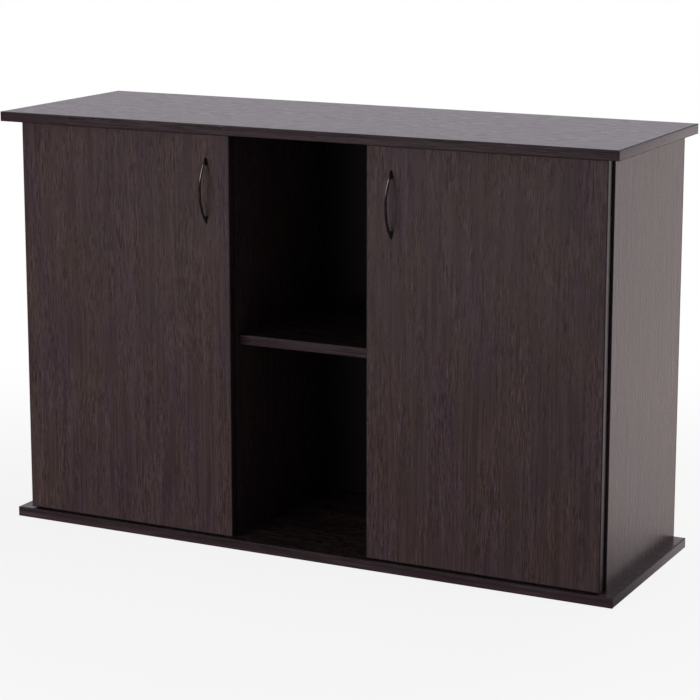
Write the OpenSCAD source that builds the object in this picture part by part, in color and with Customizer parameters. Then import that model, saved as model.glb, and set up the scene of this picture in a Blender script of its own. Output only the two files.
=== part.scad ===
// Low cabinet that carries an aquarium: two hinged doors and an open bay with a fixed shelf.
// The origin is at the middle of the underside. X runs to the right, Y to the back, Z up.

/* [Overall] */
// Width over the top board
cab_w = 1200; // [900:10:1500]
// Depth over the top board
cab_d = 400; // [340:5:600]
// Height from the floor to the top surface
cab_h = 774; // [600:2:900]

/* [Boards] */
// Thickness of the laminated chipboard
board_t = 18; // [16:1:22]
// Thickness of the edge banding
edge_t = 2; // [0.4:0.1:3]
// Thickness of the back panel
back_t = 3; // [2.5:0.5:5]
// How far the top board reaches past each side panel
top_side_overhang = 24; // [10:1:60]
// How far the base board reaches past each side panel
base_side_overhang = 22; // [10:1:60]
// Set-back of the base board's front edge behind the top board's
base_setback = 20; // [0:1:24]

/* [Bay and shelf] */
// Clear width of the open bay
bay_w = 270; // [220:5:400]
// Height of the shelf's underside above the floor
shelf_z = 372; // [200:1:500]
// Set-back of the shelf behind the front of the dividers
shelf_setback = 10; // [0:1:60]

/* [Doors] */
// Thickness of a door
door_t = 18; // [16:1:22]
// Set-back of the doors' front behind the top board's front edge
door_setback = 28; // [26:1:60]
// How far a door's outer edge stays inside the side panel's face
door_side_reveal = 4; // [1:0.5:5]
// Gap above a door
door_top_gap = 3; // [2:0.5:6]
// Gap below a door
door_bottom_gap = 2; // [2:0.5:6]
// Gap between a shut door and the edges behind it
door_back_gap = 3; // [2.8:0.1:5]

/* [Handles] */
// Distance between a handle's two screws
handle_pitch = 96; // [64:16:128]
// How far each end of a handle reaches past its screw
handle_tail = 9; // [6:1:14]
// How far a handle stands out from the door
handle_reach = 24; // [18:1:26]
// Width of the handle's bar, seen from the front
handle_bar_w = 4.5; // [4:0.5:9]
// Thickness of the handle's bar, seen from the side
handle_bar_t = 3.5; // [3:0.5:4]
// Distance of a handle from the door's opening edge
handle_edge = 47; // [30:1:80]
// Distance of a handle's middle below the top of the door
handle_drop = 101; // [80:1:200]

/* [Hinges] */
// Diameter of a hinge cup
cup_d = 35; // [35:1:40]
// Depth of a hinge cup in the door
cup_depth = 12.5; // [11:0.5:13.5]
// Thickness of the cup's wall and of the arm's neck
hinge_wall = 1.2; // [0.8:0.1:1.5]
// Distance of the cup's rim from the door's outer edge
cup_edge = 3; // [2.5:0.1:3.2]
// Radius of a hinge pin
pin_r = 1.2; // [1:0.1:1.5]
// Distance from the pin to the middle of the arm's web
neck_len = 15; // [14:0.5:17]
// Width of the arm's neck inside the cup
neck_w = 9; // [7:0.5:11]
// Width of the arm over its side flanges
arm_w = 15; // [13:0.5:18]
// Length of the arm along the side panel
arm_len = 58; // [50:1:70]
// Distance of a hinge's middle from the end of the door
hinge_inset = 100; // [70:5:150]
// Distance of the plate's screw line behind the side panel's front
plate_line = 37; // [35:0.5:40]
// Distance between a plate's two screws
plate_pitch = 32; // [32:1:40]
// Distance between the cup's two screws
cup_screw_pitch = 45; // [42:1:52]

/* [Fastenings] */
// Distance of the first and last fixing of an upright from its front and back
fix_edge = 50; // [30:1:80]
// Distance from a fixing to the dowel beside it
dowel_step = 32; // [25:1:60]
// Radius of a dowel
dowel_r = 4; // [3:0.5:5]
// Length of a dowel
dowel_len = 30; // [25:1:40]
// Depth of a dowel's hole in a board's face
dowel_in_face = 10; // [8:0.5:12]
// Radius of a cam lock
cam_r = 7.5; // [6:0.5:7.5]
// Depth of a cam lock
cam_depth = 13.5; // [12:0.5:13.5]
// Distance of a cam's middle below the top board
cam_drop = 34; // [24:1:40]
// Length of a confirmat screw
confirmat_len = 50; // [40:1:60]
// Number of nails in the back edge of each upright
nails_per_upright = 6; // [3:1:10]
// Length of a nail's shank
nail_len = 18; // [12:1:25]

/* [Back panel] */
// Width of a hose and cable cut-out
hose_w = 120; // [60:5:200]
// Height of a hose and cable cut-out
hose_h = 60; // [40:5:120]
// Radius of a cut-out's lower corners
hose_corner_r = 12; // [4:1:20]

/* [Hidden] */

$fn = 48;
// A cut runs this far past the face it opens
cut = 1;
// Radial room round a shank, dowel or cup in its hole
fit = 0.1;
// Radial room of a hinge pin in the arm's eye
pin_fit = 0.05;
// Room round the arm where it moves inside the cup or over the plate
arm_room = 0.3;
// Room between a bumper and the edge that it meets
touch = 0.2;
// How far a nail's head stands behind the back panel
nail_head_t = 0.8;

front_y = -cab_d / 2;
back_y = cab_d / 2;
side_out = cab_w / 2 - top_side_overhang;
side_in = side_out - board_t;
bay_x = bay_w / 2;
div_x = bay_x + board_t;
base_x = side_out + base_side_overhang;
base_y = front_y + base_setback;
up_z0 = board_t;
up_z1 = cab_h - board_t;
shelf_top = shelf_z + board_t;

door_y0 = front_y + door_setback;
door_y1 = door_y0 + door_t;
door_out = side_out - door_side_reveal;
door_in = bay_x;
door_z0 = up_z0 + door_bottom_gap;
door_z1 = up_z1 - door_top_gap;
carcass_y0 = door_y1 + door_back_gap;
carcass_y1 = back_y - nail_head_t - back_t;

upright_xs = [side_out - board_t / 2, bay_x + board_t / 2];
fix_ys = [carcass_y0 + fix_edge, carcass_y1 - fix_edge];
dowel_ys = [carcass_y0 + fix_edge + dowel_step, carcass_y1 - fix_edge - dowel_step];

handle_x = door_in + handle_edge;
handle_z = door_z1 - handle_drop;
handle_half = handle_pitch / 2 + handle_tail;
handle_foot_r = 3.5;
handle_rise = handle_reach - handle_bar_t / 2;
handle_arc_r = (handle_half * handle_half + handle_rise * handle_rise) / (2 * handle_rise);
handle_arc_a = asin(handle_half / handle_arc_r);
// The bow runs this many degrees past the door's face, and is cut off flush with it
handle_end_a = 4;
// A foot ends this far short of the bow's middle line
foot_stop = 1;
// Metal left over the end of a foot's tapped hole
foot_roof = 1.5;
handle_foot_h = sqrt(handle_arc_r * handle_arc_r - handle_pitch * handle_pitch / 4)
    - handle_arc_r + handle_rise - foot_stop;
handle_screw_r = 2;
handle_screw_in = handle_foot_h - foot_roof;

cup_r = cup_d / 2;
cup_in_r = cup_r - hinge_wall;
cup_x = door_out - cup_edge - cup_r;
cup_flange_t = 1;
eye_r = pin_r + 0.8;
pin_x = cup_x + sqrt(cup_in_r * cup_in_r - neck_w * neck_w / 4) - eye_r - 0.7 * arm_room;
pin_y = door_y1 - cup_depth + hinge_wall + eye_r + arm_room;
hinge_zs = [door_z1 - hinge_inset, door_z0 + hinge_inset];
// A pin's ends stay this far inside the cup's outer face
pin_end_in = 0.1;
pin_half = sqrt(cup_r * cup_r - pow(pin_x - cup_x + pin_r, 2)) - pin_end_in;
web_x = pin_x - neck_len;
web_out = web_x - hinge_wall / 2;
web_in = web_x + hinge_wall / 2;
// The arm lies beside the panel from this far behind the panel's front
arm_start = 3;
arm_y0 = carcass_y0 + arm_start;
arm_y1 = arm_y0 + arm_len;
plate_wing_t = 2;
wing_x = side_in - plate_wing_t;
arm_flange_h = wing_x - web_in - arm_room;
plate_y = carcass_y0 + plate_line;
plate_end_r = 6;
// How much shorter the plate's raised pad is than the arm, at the front and at the back
pad_front_in = 6;
pad_back_in = 3;
pad_y0 = arm_y0 + pad_front_in;
pad_y1 = arm_y1 - pad_back_in;
pad_w = arm_w - 2 * hinge_wall - 2 * arm_room;
cup_screw_back = 9.5;
small_screw_r = 1.75;
small_screw_in = 12;
small_head_r = 3.4;
cup_screw_head_h = 1;
arm_screw_r = 2;
arm_screw_head_r = 3.4;
arm_screw_head_h = 2;
// Distance of the arm's screws from the ends of the pad
arm_screw_inset = 10;
arm_screw_ys = [pad_y0 + arm_screw_inset, pad_y1 - arm_screw_inset];
// Metal left between an arm screw's end and the side panel
pad_floor = 2;
arm_screw_end = side_in - pad_floor;

bumper_r = 4;
bumper_end = 25;
confirmat_r = 3.5;
confirmat_thread_r = 2.5;
confirmat_head_r = 5;
confirmat_head_h = 3.5;
bolt_r = 3;
bolt_bore_r = 3.6;
bolt_thread_r = 2.5;
bolt_thread_len = 11;
bolt_head_r = 3.2;
bolt_neck_r = 2;
nail_r = 0.7;
nail_head_r = 2;
nail_end = 40;

wenge = "#3d3331";
wenge_edge = "#453a37";
hardboard = "#2c2422";
nickel = "#a9a9a6";
zinc = "#8f8f8c";
dark_metal = "#2b2827";
beech = "#c9a06a";

// Shapes that repeat

// A copy on the side named by s: 1 for the right, -1 for the left
module on_side(s) {
    if (s > 0) children();
    else mirror([1, 0, 0]) children();
}

// A copy on each side
module both_sides() {
    for (s = [-1, 1]) on_side(s) children();
}

// A box from its lowest corner to its highest
module block(a, b) {
    translate(a) cube([b[0] - a[0], b[1] - a[1], b[2] - a[2]]);
}

// A rod along X, Y or Z that starts at p
module rod_x(p, r, l) {
    translate(p) rotate([0, 90, 0]) cylinder(r = r, h = l);
}

module rod_y(p, r, l) {
    translate(p) rotate([-90, 0, 0]) cylinder(r = r, h = l);
}

module rod_z(p, r, l) {
    translate(p) cylinder(r = r, h = l);
}

// The four strips round the edges of a lying board
module lying_edging(x, y0, y1, z0) {
    block([-x, y0, z0], [x, y0 + edge_t, z0 + board_t]);
    block([-x, y1 - edge_t, z0], [x, y1, z0 + board_t]);
    for (s = [-1, 1])
        on_side(s) block([x - edge_t, y0 + edge_t, z0], [x, y1 - edge_t, z0 + board_t]);
}

// Holes of one upright's fastenings in the board above it
module top_holes(x) {
    for (y = fix_ys) rod_z([x, y, up_z1 - cut], bolt_thread_r + fit, bolt_thread_len + 2 * cut);
    for (y = dowel_ys) rod_z([x, y, up_z1 - cut], dowel_r + fit, dowel_in_face + cut + fit);
}

// Holes of one upright's fastenings in the board below it
module base_holes(x) {
    for (y = fix_ys) {
        rod_z([x, y, -cut], confirmat_r + fit, board_t + 2 * cut);
        translate([x, y, 0])
            cylinder(r1 = confirmat_head_r + fit, r2 = confirmat_r + fit, h = confirmat_head_h);
    }
    for (y = dowel_ys)
        rod_z([x, y, board_t - dowel_in_face - fit], dowel_r + fit, dowel_in_face + fit + cut);
}

// Holes in the ends of an upright whose middle is at x, and in its back edge
module upright_holes(x) {
    for (y = fix_ys) {
        rod_z([x, y, up_z1 - cam_drop], bolt_bore_r, cam_drop + cut);
        rod_z([x, y, up_z0 - cut], confirmat_thread_r + fit, confirmat_len - board_t + 2 * cut);
    }
    for (y = dowel_ys) {
        rod_z([x, y, up_z1 - dowel_in_upright()], dowel_r + fit, dowel_in_upright() + cut);
        rod_z([x, y, up_z0 - cut], dowel_r + fit, dowel_in_upright() + cut);
    }
    for (z = nail_zs())
        rod_y([x, carcass_y1 - nail_in_wood() - fit, z], nail_r + fit, nail_in_wood() + fit + cut);
}

function dowel_in_upright() = dowel_len - dowel_in_face + fit;
function nail_in_wood() = nail_len - back_t;
function nail_zs() = [for (i = [0 : nails_per_upright - 1])
    up_z0 + nail_end + i * (up_z1 - up_z0 - 2 * nail_end) / (nails_per_upright - 1)];
function nail_bay_xs() = [-bay_x / 2, bay_x / 2];

// Pocket of the cam whose flat face lies at x and whose body goes in direction s
module cam_pockets(x, s) {
    for (y = fix_ys)
        rod_x([s > 0 ? x - cut : x - cam_depth - fit, y, up_z1 - cam_drop], cam_r + fit,
            cam_depth + cut + fit);
}

// Holes of the hinge plates' screws in the right side panel
module plate_holes() {
    for (z = hinge_zs) for (dz = [-plate_pitch / 2, plate_pitch / 2])
        rod_x([side_in - cut, plate_y, z + dz], small_screw_r + fit, small_screw_in + fit + cut);
}

// Boards

module top_board() {
    color(wenge) difference() {
        block([-cab_w / 2 + edge_t, front_y + edge_t, up_z1], [cab_w / 2 - edge_t, back_y - edge_t, cab_h]);
        both_sides() for (x = upright_xs) top_holes(x);
    }
}

module top_board_edging() {
    color(wenge_edge) lying_edging(cab_w / 2, front_y, back_y, up_z1);
}

module base_board() {
    color(wenge) difference() {
        block([-base_x + edge_t, base_y + edge_t, 0], [base_x - edge_t, back_y - edge_t, board_t]);
        both_sides() for (x = upright_xs) base_holes(x);
    }
}

module base_board_edging() {
    color(wenge_edge) lying_edging(base_x, base_y, back_y, 0);
}

module side_panel(s) {
    color(wenge) on_side(s) difference() {
        block([side_in, carcass_y0 + edge_t, up_z0], [side_out, carcass_y1, up_z1]);
        upright_holes(upright_xs[0]);
        cam_pockets(side_in, 1);
        plate_holes();
    }
}

module side_panel_edging(s) {
    color(wenge_edge) on_side(s)
        block([side_in, carcass_y0, up_z0], [side_out, carcass_y0 + edge_t, up_z1]);
}

module divider(s) {
    color(wenge) on_side(s) difference() {
        block([bay_x, carcass_y0 + edge_t, up_z0], [div_x, carcass_y1, up_z1]);
        upright_holes(upright_xs[1]);
        cam_pockets(div_x, -1);
        for (y = fix_ys) confirmat_way([div_x, y, shelf_z + board_t / 2]);
    }
}

module divider_edging(s) {
    color(wenge_edge) on_side(s)
        block([bay_x, carcass_y0, up_z0], [div_x, carcass_y0 + edge_t, up_z1]);
}

// Clearance for a shelf screw that enters the divider at p and runs towards the bay
module confirmat_way(p) {
    translate(p) rotate([0, -90, 0]) {
        cylinder(r1 = confirmat_head_r + fit, r2 = confirmat_r + fit, h = confirmat_head_h);
        translate([0, 0, -cut]) cylinder(r = confirmat_r + fit, h = board_t + 2 * cut);
    }
}

module centre_shelf() {
    color(wenge) difference() {
        block([-bay_x, carcass_y0 + shelf_setback + edge_t, shelf_z], [bay_x, carcass_y1, shelf_top]);
        both_sides() for (y = fix_ys)
            rod_x([div_x - confirmat_len - 2 * fit, y, shelf_z + board_t / 2],
                confirmat_thread_r + fit, confirmat_len);
        for (x = nail_bay_xs())
            rod_y([x, carcass_y1 - nail_in_wood() - fit, shelf_z + board_t / 2], nail_r + fit,
                nail_in_wood() + fit + cut);
    }
}

module centre_shelf_edging() {
    color(wenge_edge)
        block([-bay_x, carcass_y0 + shelf_setback, shelf_z],
            [bay_x, carcass_y0 + shelf_setback + edge_t, shelf_top]);
}

// Cut-out for hoses and cables in the back panel's upper edge, behind the right door
module hose_cutout() {
    x0 = (side_in + div_x - hose_w) / 2;
    z0 = up_z1 - hose_h;
    block([x0, carcass_y1 - cut, z0 + hose_corner_r], [x0 + hose_w, back_y + cut, up_z1 + cut]);
    block([x0 + hose_corner_r, carcass_y1 - cut, z0], [x0 + hose_w - hose_corner_r, back_y + cut, up_z1]);
    for (x = [x0 + hose_corner_r, x0 + hose_w - hose_corner_r])
        rod_y([x, carcass_y1 - cut, z0 + hose_corner_r], hose_corner_r, back_t + 2 * cut);
}

module back_panel() {
    color(hardboard) difference() {
        block([-side_out, carcass_y1, up_z0], [side_out, carcass_y1 + back_t, up_z1]);
        both_sides() {
            hose_cutout();
            for (x = upright_xs) for (z = nail_zs())
                rod_y([x, carcass_y1 - cut, z], nail_r + fit, back_t + 2 * cut);
        }
        for (x = nail_bay_xs())
            rod_y([x, carcass_y1 - cut, shelf_z + board_t / 2], nail_r + fit, back_t + 2 * cut);
    }
}

// Fastenings

// A nail whose head lies on the back panel at x and z
module nail(x, z) {
    rod_y([x, carcass_y1 + back_t - nail_len, z], nail_r, nail_len);
    rod_y([x, carcass_y1 + back_t, z], nail_head_r, nail_head_t);
}

module back_panel_nails() {
    color(zinc) {
        both_sides() for (x = upright_xs) for (z = nail_zs()) nail(x, z);
        for (x = nail_bay_xs()) nail(x, shelf_z + board_t / 2);
    }
}

// A cam with its flat face at x, its body in direction s and a slotted way in for the bolt's head
module cam(x, s, y) {
    z = up_z1 - cam_drop;
    cross_w = 1.2;
    cross_l = 8;
    x0 = s > 0 ? x : x - cam_depth;
    face = x - cut;
    difference() {
        rod_x([x0, y, z], cam_r, cam_depth);
        rod_z([x + s * board_t / 2, y, z - bolt_bore_r], bolt_bore_r, cam_r + bolt_bore_r);
        block([face, y - cross_l / 2, z - cross_w / 2], [face + 2 * cut, y + cross_l / 2, z + cross_w / 2]);
        block([face, y - cross_w / 2, z - cross_l / 2], [face + 2 * cut, y + cross_w / 2, z + cross_l / 2]);
    }
}

module top_cam_locks() {
    color(zinc) both_sides() for (y = fix_ys) {
        cam(side_in, 1, y);
        cam(div_x, -1, y);
    }
}

module top_cam_bolts() {
    head_h = 2.4;
    neck_h = 3.6;
    z0 = up_z1 - cam_drop - 2;
    color(zinc) both_sides() for (x = upright_xs) for (y = fix_ys) {
        rod_z([x, y, z0], bolt_head_r, head_h);
        rod_z([x, y, z0 + head_h], bolt_neck_r, neck_h);
        rod_z([x, y, z0 + head_h + neck_h], bolt_r, up_z1 - z0 - head_h - neck_h);
        rod_z([x, y, up_z1], bolt_thread_r, bolt_thread_len);
    }
}

module top_dowels() {
    color(beech) both_sides() for (x = upright_xs) for (y = dowel_ys)
        rod_z([x, y, up_z1 + dowel_in_face - dowel_len], dowel_r, dowel_len);
}

module base_dowels() {
    color(beech) both_sides() for (x = upright_xs) for (y = dowel_ys)
        rod_z([x, y, up_z0 - dowel_in_face], dowel_r, dowel_len);
}

// A confirmat screw that stands on its head at the origin
module confirmat() {
    key_r = 2.3;
    key_depth = 2.5;
    tip_h = 4;
    difference() {
        union() {
            cylinder(r1 = confirmat_head_r, r2 = confirmat_r, h = confirmat_head_h);
            cylinder(r = confirmat_r, h = board_t - fit);
            cylinder(r = confirmat_thread_r, h = confirmat_len - tip_h);
            translate([0, 0, confirmat_len - tip_h])
                cylinder(r1 = confirmat_thread_r, r2 = 0.8, h = tip_h);
        }
        translate([0, 0, -cut]) cylinder(r = key_r, h = key_depth + cut, $fn = 6);
    }
}

module base_confirmat_screws() {
    color(zinc) both_sides() for (x = upright_xs) for (y = fix_ys)
        translate([x, y, fit]) confirmat();
}

module shelf_confirmat_screws() {
    color(zinc) both_sides() for (y = fix_ys)
        translate([div_x - fit, y, shelf_z + board_t / 2]) rotate([0, -90, 0]) confirmat();
}

// Doors, drawn for the right side

module door_panel(s) {
    color(wenge) on_side(s) difference() {
        block([door_in + edge_t, door_y0, door_z0 + edge_t], [door_out - edge_t, door_y1, door_z1 - edge_t]);
        for (z = hinge_zs) {
            rod_y([cup_x, door_y1 - cup_depth - fit, z], cup_r + fit, cup_depth + fit + cut);
            for (dz = [-cup_screw_pitch / 2, cup_screw_pitch / 2])
                rod_y([cup_x - cup_screw_back, door_y1 - small_screw_in - fit, z + dz],
                    small_screw_r + fit, small_screw_in + fit + cut);
        }
        for (dz = [-handle_pitch / 2, handle_pitch / 2])
            rod_y([handle_x, door_y0 - cut, handle_z + dz], handle_screw_r + fit, door_t + 2 * cut);
    }
}

module door_edging(s) {
    color(wenge_edge) on_side(s) {
        for (x = [door_in, door_out - edge_t]) block([x, door_y0, door_z0], [x + edge_t, door_y1, door_z1]);
        for (z = [door_z0, door_z1 - edge_t])
            block([door_in + edge_t, door_y0, z], [door_out - edge_t, door_y1, z + edge_t]);
    }
}

// The handle bar's section: flat faces and round edges
module bar_section() {
    square([handle_bar_t, handle_bar_w - handle_bar_t], center = true);
    for (y = [-1, 1]) translate([0, y * (handle_bar_w - handle_bar_t) / 2]) circle(d = handle_bar_t);
}

// A bow whose ends run flat against the door, on two feet with a tapped hole in each
module handle(s) {
    sweep_a = handle_arc_a + handle_end_a;
    color(dark_metal) on_side(s) translate([handle_x, door_y0, handle_z]) difference() {
        union() {
            translate([0, handle_arc_r - handle_rise, 0]) rotate([0, 90, 0]) rotate([0, 0, -90 - sweep_a])
                rotate_extrude(angle = 2 * sweep_a, $fn = 160) translate([handle_arc_r, 0]) bar_section();
            for (dz = [-handle_pitch / 2, handle_pitch / 2])
                rod_y([0, -handle_foot_h, dz], handle_foot_r, handle_foot_h);
        }
        block([-handle_foot_r - cut, 0, -handle_half - handle_reach],
            [handle_foot_r + cut, door_t, handle_half + handle_reach]);
        for (dz = [-handle_pitch / 2, handle_pitch / 2])
            rod_y([0, -handle_screw_in - fit, dz], handle_screw_r + fit, handle_screw_in + cut);
    }
}

module handle_screws(s) {
    head_r = 4;
    head_h = 2.2;
    color(zinc) on_side(s) for (dz = [-handle_pitch / 2, handle_pitch / 2]) {
        rod_y([handle_x, door_y0 - handle_screw_in, handle_z + dz], handle_screw_r, door_t + handle_screw_in);
        rod_y([handle_x, door_y1, handle_z + dz], head_r, head_h);
    }
}

// Soft buttons on the door's back that meet the divider's front edge
module door_bumpers(s) {
    color("#d8d8d4") on_side(s) for (z = [door_z0 + bumper_end, door_z1 - bumper_end])
        rod_y([upright_xs[1], door_y1, z], bumper_r, door_back_gap - touch);
}

// Hinges, drawn for the right side

// Two lugs inside the cup that hold the ends of the pin
module pin_lugs(z) {
    lug_back = 3;
    lug_top = 1.5;
    for (dz = [neck_w / 2 + arm_room, -cup_r]) intersection() {
        rod_y([cup_x, door_y1 - cup_depth, z], cup_r - hinge_wall / 2, cup_depth);
        block([pin_x - lug_back, door_y1 - cup_depth, z + dz],
            [cup_x + cup_r, pin_y + pin_r + lug_top, z + dz + cup_r - neck_w / 2 - arm_room]);
    }
}

module hinge_cup(s, z) {
    flange_w = 1.4;
    flange_r = cup_r + flange_w;
    ear_r = 6;
    color(nickel) on_side(s) difference() {
        union() {
            difference() {
                union() {
                    rod_y([cup_x, door_y1 - cup_depth, z], cup_r, cup_depth + cup_flange_t);
                    rod_y([cup_x, door_y1, z], flange_r, cup_flange_t);
                    for (dz = [-cup_screw_pitch / 2, cup_screw_pitch / 2])
                        rod_y([cup_x - cup_screw_back, door_y1, z + dz], ear_r, cup_flange_t);
                    block([cup_x - cup_screw_back - ear_r, door_y1, z - cup_screw_pitch / 2],
                        [cup_x - cup_screw_back + ear_r, door_y1 + cup_flange_t, z + cup_screw_pitch / 2]);
                }
                rod_y([cup_x, door_y1 - cup_depth + hinge_wall, z], cup_in_r, cup_depth + cup_flange_t);
            }
            pin_lugs(z);
        }
        rod_z([pin_x, pin_y, z - cup_r], pin_r + fit, 2 * cup_r);
        for (dz = [-cup_screw_pitch / 2, cup_screw_pitch / 2])
            rod_y([cup_x - cup_screw_back, door_y1 - cut, z + dz], small_screw_r + fit, 4 * cut);
    }
}

module hinge_pins(s) {
    color(nickel) on_side(s) for (z = hinge_zs) rod_z([pin_x, pin_y, z - pin_half], pin_r, 2 * pin_half);
}

module hinge_cup_screws(s) {
    color(nickel) on_side(s) for (z = hinge_zs) for (dz = [-cup_screw_pitch / 2, cup_screw_pitch / 2]) {
        rod_y([cup_x - cup_screw_back, door_y1 - small_screw_in, z + dz], small_screw_r,
            small_screw_in + cup_flange_t);
        rod_y([cup_x - cup_screw_back, door_y1 + cup_flange_t, z + dz], small_head_r, cup_screw_head_h);
    }
}

// The neck and its bend, seen along Z: from the pin into the cup, then back out along the web
module neck_outline() {
    half = hinge_wall / 2;
    bend_r = 3;
    bend = [web_x + bend_r, pin_y + bend_r];
    translate([bend[0], pin_y - half]) square([pin_x - bend[0], hinge_wall]);
    translate([web_x - half, bend[1]]) square([hinge_wall, arm_y0 + hinge_wall - bend[1]]);
    translate(bend) intersection() {
        difference() {
            circle(r = bend_r + half);
            circle(r = bend_r - half);
        }
        translate([-2 * bend_r, -2 * bend_r]) square(2 * bend_r);
    }
}

module hinge_arm(s, z) {
    color(nickel) on_side(s) difference() {
        union() {
            translate([0, 0, z - neck_w / 2]) linear_extrude(height = neck_w) neck_outline();
            rod_z([pin_x, pin_y, z - neck_w / 2], eye_r, neck_w);
            block([web_out, arm_y0, z - arm_w / 2], [web_in, arm_y1, z + arm_w / 2]);
            for (dz = [-arm_w / 2, arm_w / 2 - hinge_wall])
                block([web_in, arm_y0, z + dz], [web_in + arm_flange_h, arm_y1, z + dz + hinge_wall]);
        }
        rod_z([pin_x, pin_y, z - neck_w], pin_r + pin_fit, 2 * neck_w);
        for (y = arm_screw_ys) rod_x([web_out - cut, y, z], arm_screw_r + fit, hinge_wall + 2 * cut);
    }
}

module hinge_plate(s, z) {
    color(nickel) on_side(s) difference() {
        union() {
            block([web_in, pad_y0, z - pad_w / 2], [side_in, pad_y1, z + pad_w / 2]);
            block([wing_x, plate_y - plate_end_r, z - plate_pitch / 2],
                [side_in, plate_y + plate_end_r, z + plate_pitch / 2]);
            for (dz = [-plate_pitch / 2, plate_pitch / 2])
                rod_x([wing_x, plate_y, z + dz], plate_end_r, plate_wing_t);
        }
        for (dz = [-plate_pitch / 2, plate_pitch / 2]) {
            rod_x([wing_x - cut, plate_y, z + dz], small_screw_r + fit, plate_wing_t + 2 * cut);
            translate([wing_x, plate_y, z + dz]) rotate([0, 90, 0])
                cylinder(r1 = small_head_r + fit, r2 = small_screw_r + fit, h = plate_wing_t);
        }
        for (y = arm_screw_ys)
            rod_x([web_in - cut, y, z], arm_screw_r + fit, arm_screw_end + fit - web_in + cut);
    }
}

module hinge_plate_screws() {
    color(zinc) both_sides() for (z = hinge_zs) for (dz = [-plate_pitch / 2, plate_pitch / 2])
        translate([wing_x, plate_y, z + dz]) rotate([0, 90, 0]) {
            cylinder(r1 = small_head_r, r2 = small_screw_r, h = plate_wing_t);
            cylinder(r = small_screw_r, h = plate_wing_t + small_screw_in);
        }
}

module hinge_arm_screws() {
    color(zinc) both_sides() for (z = hinge_zs) for (y = arm_screw_ys) {
        rod_x([web_out - arm_screw_head_h, y, z], arm_screw_head_r, arm_screw_head_h);
        rod_x([web_out - arm_screw_head_h, y, z], arm_screw_r, arm_screw_end - web_out + arm_screw_head_h);
    }
}

top_board();
top_board_edging();
base_board();
base_board_edging();
side_panel(-1);  // left_side_panel
side_panel(1);  // right_side_panel
side_panel_edging(-1);  // left_side_panel_edging
side_panel_edging(1);  // right_side_panel_edging
divider(-1);  // left_divider
divider(1);  // right_divider
divider_edging(-1);  // left_divider_edging
divider_edging(1);  // right_divider_edging
centre_shelf();
centre_shelf_edging();
back_panel();
back_panel_nails();
top_cam_locks();
top_cam_bolts();
top_dowels();
base_dowels();
base_confirmat_screws();
shelf_confirmat_screws();
door_panel(-1);  // left_door_panel
door_panel(1);  // right_door_panel
door_edging(-1);  // left_door_edging
door_edging(1);  // right_door_edging
handle(-1);  // left_handle
handle(1);  // right_handle
handle_screws(-1);  // left_handle_screws
handle_screws(1);  // right_handle_screws
door_bumpers(-1);  // left_door_bumpers
door_bumpers(1);  // right_door_bumpers
hinge_cup(-1, hinge_zs[0]);  // left_upper_hinge_cup
hinge_cup(-1, hinge_zs[1]);  // left_lower_hinge_cup
hinge_cup(1, hinge_zs[0]);  // right_upper_hinge_cup
hinge_cup(1, hinge_zs[1]);  // right_lower_hinge_cup
hinge_arm(-1, hinge_zs[0]);  // left_upper_hinge_arm
hinge_arm(-1, hinge_zs[1]);  // left_lower_hinge_arm
hinge_arm(1, hinge_zs[0]);  // right_upper_hinge_arm
hinge_arm(1, hinge_zs[1]);  // right_lower_hinge_arm
hinge_plate(-1, hinge_zs[0]);  // left_upper_hinge_plate
hinge_plate(-1, hinge_zs[1]);  // left_lower_hinge_plate
hinge_plate(1, hinge_zs[0]);  // right_upper_hinge_plate
hinge_plate(1, hinge_zs[1]);  // right_lower_hinge_plate
hinge_pins(-1);  // left_hinge_pins
hinge_pins(1);  // right_hinge_pins
hinge_cup_screws(-1);  // left_hinge_cup_screws
hinge_cup_screws(1);  // right_hinge_cup_screws
hinge_plate_screws();
hinge_arm_screws();
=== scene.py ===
import math

import bmesh
import bpy
from mathutils import Matrix, Vector


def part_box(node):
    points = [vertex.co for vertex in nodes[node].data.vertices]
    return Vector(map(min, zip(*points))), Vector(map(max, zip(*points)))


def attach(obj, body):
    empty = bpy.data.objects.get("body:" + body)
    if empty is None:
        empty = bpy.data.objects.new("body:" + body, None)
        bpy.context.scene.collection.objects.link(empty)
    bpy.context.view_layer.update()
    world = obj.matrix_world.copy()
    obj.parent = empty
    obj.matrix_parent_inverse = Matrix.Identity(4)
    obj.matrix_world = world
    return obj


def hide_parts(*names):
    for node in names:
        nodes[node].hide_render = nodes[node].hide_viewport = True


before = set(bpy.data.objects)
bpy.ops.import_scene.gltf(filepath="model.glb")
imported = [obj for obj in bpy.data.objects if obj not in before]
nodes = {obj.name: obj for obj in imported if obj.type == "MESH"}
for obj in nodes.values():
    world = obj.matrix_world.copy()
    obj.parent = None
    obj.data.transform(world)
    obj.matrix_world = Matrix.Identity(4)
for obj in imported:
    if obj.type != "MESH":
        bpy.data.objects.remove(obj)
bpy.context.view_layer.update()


# Boards
# 18 mm chipboard with a printed wenge melamine face pressed on both sides. A board is sawn to size and
# bored for its fittings, so the bores' walls show raw chips. The cores are the CAD solids themselves.

def linear(*hex_colours):
    """sRGB hex colours as linear RGBA."""
    colours = []
    for code in hex_colours:
        parts = [int(code[i:i + 2], 16) / 255 for i in (1, 3, 5)]
        colours.append([c / 12.92 if c <= 0.04045 else ((c + 0.055) / 1.055) ** 2.4 for c in parts] + [1.0])
    return colours


def add(tree, kind, settings, inputs, output=None):
    """Adds a shader node with its settings, links or sets its inputs, and gives the named output."""
    shader_node = tree.nodes.new("ShaderNode" + kind)
    for setting, value in settings.items():
        setattr(shader_node, setting, value)
    for socket, value in inputs.items():
        if isinstance(value, bpy.types.NodeSocket):
            tree.links.new(value, shader_node.inputs[socket])
        else:
            shader_node.inputs[socket].default_value = value
    return None if output is None else shader_node.outputs[output]


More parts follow.
